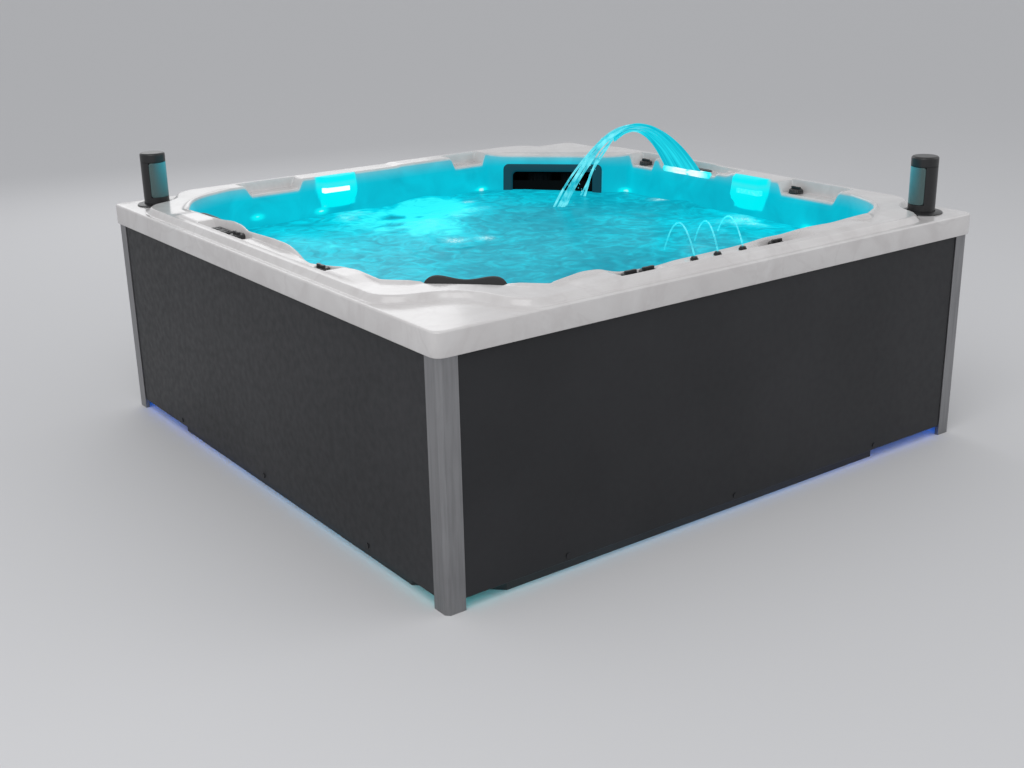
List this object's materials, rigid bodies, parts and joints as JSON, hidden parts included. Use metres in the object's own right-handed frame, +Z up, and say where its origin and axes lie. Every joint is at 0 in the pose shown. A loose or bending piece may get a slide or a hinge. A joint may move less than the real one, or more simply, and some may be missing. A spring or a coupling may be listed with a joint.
{
  "type": "hot tub",
  "caption": "Square lit hot tub with moulded shell, raised speakers, skimmer bay, fountain, rotary knobs and dark panelled cabinet with metal corner posts",
  "frame": {"origin": "centre of the footprint on the floor", "axes": "+Z up, -Y out of the service panel, +X to the right when facing that panel"},
  "size_m": [2.3, 2.3, 1.038],
  "materials": {
    "white_marbled_acrylic": "glossy vacuum-formed acrylic with faint marbling",
    "graphite_composite_panel": "dark satin composite board",
    "anodised_corner_post": "satin anodised",
    "black_moulded_plastic": "satin moulded",
    "black_head_rest_foam": "soft closed-cell skin",
    "dark_speaker_mesh": "black coated mesh",
    "frosted_light_lens": "frosted, lit",
    "satin_stainless_steel": "satin bright metal",
    "treated_timber": "sawn and treated",
    "black_base_pan": "matt moulded sheet",
    "white_pipe": "smooth pipe",
    "motor_enamel": "dark blue enamel",
    "pleated_filter_cloth": "pleated cloth",
    "grey_equipment_case": "matt case"
  },
  "bodies": {
    "tub": {"base_pan": "black_base_pan", "underglow_strip": "frosted_light_lens", "support_frame": "treated_timber", "corner_post_right": "anodised_corner_post", "corner_post_back": "anodised_corner_post", "corner_post_left": "anodised_corner_post", "corner_post_front": "anodised_corner_post", "side_panel_right": "graphite_composite_panel", "side_panel_back": "graphite_composite_panel", "side_panel_left": "graphite_composite_panel", "acrylic_shell": "white_marbled_acrylic", "speaker_sleeve_right": "black_moulded_plastic", "speaker_sleeve_left": "black_moulded_plastic", "skimmer_housing": "black_moulded_plastic", "filter_cartridge_left": "pleated_filter_cloth", "filter_cartridge_right": "pleated_filter_cloth", "fountain_body": "black_moulded_plastic", "fountain_lens": "frosted_light_lens", "cascade_spout_right": "frosted_light_lens", "cascade_spout_left": "frosted_light_lens", "deck_jet_left": "black_moulded_plastic", "deck_jet_middle": "black_moulded_plastic", "deck_jet_right": "black_moulded_plastic", "control_pad": "black_moulded_plastic", "suction_cover_front": "black_moulded_plastic", "suction_cover_back": "black_moulded_plastic", "footwell_light": "frosted_light_lens", "drain_cover": "black_moulded_plastic", "head_rest_corner": "black_head_rest_foam", "head_rest_front": "black_head_rest_foam", "head_rest_left": "black_head_rest_foam", "pump_one_motor": "motor_enamel", "pump_two_motor": "motor_enamel", "pump_one_wet_end": "black_moulded_plastic", "pump_two_wet_end": "black_moulded_plastic", "jet_manifold": "white_pipe", "suction_pipe": "white_pipe", "control_box": "grey_equipment_case", "heater_tube": "satin_stainless_steel", "air_blower": "black_moulded_plastic", "ozone_unit": "grey_equipment_case"},
    "speaker_left": {"speaker_tower_left": "black_moulded_plastic", "speaker_mesh_left": "dark_speaker_mesh"},
    "speaker_right": {"speaker_tower_right": "black_moulded_plastic", "speaker_mesh_right": "dark_speaker_mesh"},
    "weir": {"weir_flap": "black_moulded_plastic"},
    "skimmer_front": {"skimmer_cover": "black_moulded_plastic"},
    "service_door": {"service_panel": "graphite_composite_panel"},
    "knob_front_outer_body": {"knob_front_outer": "black_moulded_plastic"},
    "knob_front_inner_body": {"knob_front_inner": "black_moulded_plastic"},
    "knob_front_right_body": {"knob_front_right": "black_moulded_plastic"},
    "knob_right_body": {"knob_right": "black_moulded_plastic"},
    "knob_back_right_body": {"knob_back_right": "black_moulded_plastic"},
    "knob_left_back_body": {"knob_left_back": "black_moulded_plastic"},
    "knob_left_front_body": {"knob_left_front": "black_moulded_plastic"},
    "swirl_front_body": {"swirl_jet_front": "satin_stainless_steel"},
    "swirl_right_body": {"swirl_jet_right": "satin_stainless_steel"},
    "swirl_back_body": {"swirl_jet_back": "satin_stainless_steel"},
    "swirl_left_body": {"swirl_jet_left": "satin_stainless_steel"},
    "swirl_corner_body": {"swirl_jet_corner": "satin_stainless_steel"}
  },
  "joints": [
    {"name": "speaker_left_lift", "type": "slide", "parent": "tub", "child": "speaker_left", "axis": [0, 0, 1], "range_m": [-0.165, 0]},
    {"name": "speaker_right_lift", "type": "slide", "parent": "tub", "child": "speaker_right", "axis": [0, 0, 1], "range_m": [-0.165, 0]},
    {"name": "weir_flap_swing", "type": "hinge", "parent": "tub", "child": "weir", "pos_m": [0.75374, 0.78203, 0.6036], "axis": [-0.7071, 0.7071, 0], "range_deg": [0, 30]},
    {"name": "skimmer_cover_lift", "type": "slide", "parent": "tub", "child": "skimmer_front", "axis": [0.1099, 0.1099, 0.9878], "range_m": [0, 0.12]},
    {"name": "service_panel_pull", "type": "slide", "parent": "tub", "child": "service_door", "axis": [0, -1, 0], "range_m": [0, 0.3]},
    {"name": "knob_front_outer_turn", "type": "hinge", "parent": "tub", "child": "knob_front_outer_body", "pos_m": [-0.4002, -1.0603, 0.8376], "axis": [0, 0, 1], "range_deg": [0, 180]},
    {"name": "knob_front_inner_turn", "type": "hinge", "parent": "tub", "child": "knob_front_inner_body", "pos_m": [-0.33005, -1.0603, 0.8376], "axis": [0, 0, 1], "range_deg": [0, 120]},
    {"name": "knob_front_right_turn", "type": "hinge", "parent": "tub", "child": "knob_front_right_body", "pos_m": [0.2254, -1.0603, 0.8376], "axis": [0, 0, 1], "range_deg": [0, 120]},
    {"name": "knob_right_turn", "type": "hinge", "parent": "tub", "child": "knob_right_body", "pos_m": [1.0603, -0.39675, 0.8123], "axis": [0, 0, 1], "range_deg": [0, 180]},
    {"name": "knob_back_right_turn", "type": "hinge", "parent": "tub", "child": "knob_back_right_body", "pos_m": [1.0603, 0.48875, 0.8163], "axis": [0, 0, 1], "range_deg": [0, 120]},
    {"name": "knob_left_back_turn", "type": "hinge", "parent": "tub", "child": "knob_left_back_body", "pos_m": [-1.0603, 0.21505, 0.8399], "axis": [0, 0, 1], "range_deg": [0, 120]},
    {"name": "knob_left_front_turn", "type": "hinge", "parent": "tub", "child": "knob_left_front_body", "pos_m": [-1.0603, -0.3795, 0.8353], "axis": [0, 0, 1], "range_deg": [0, 180]},
    {"name": "swirl_front_spin", "type": "hinge", "parent": "tub", "child": "swirl_front_body", "pos_m": [0, -0.98871, 0.65], "axis": [0, 0.9899, 0.1414], "continuous": true},
    {"name": "swirl_right_spin", "type": "hinge", "parent": "tub", "child": "swirl_right_body", "pos_m": [0.98871, 0.1702, 0.65], "axis": [-0.9899, 0, 0.1414], "continuous": true},
    {"name": "swirl_back_spin", "type": "hinge", "parent": "tub", "child": "swirl_back_body", "pos_m": [0.1955, 0.98871, 0.65], "axis": [0, -0.9899, 0.1414], "continuous": true},
    {"name": "swirl_left_spin", "type": "hinge", "parent": "tub", "child": "swirl_left_body", "pos_m": [-0.98871, 0, 0.65], "axis": [0.9899, 0, 0.1414], "continuous": true},
    {"name": "swirl_corner_spin", "type": "hinge", "parent": "tub", "child": "swirl_corner_body", "pos_m": [-0.81816, -0.81816, 0.65], "axis": [0.6974, 0.6974, 0.1649], "continuous": true}
  ]
}
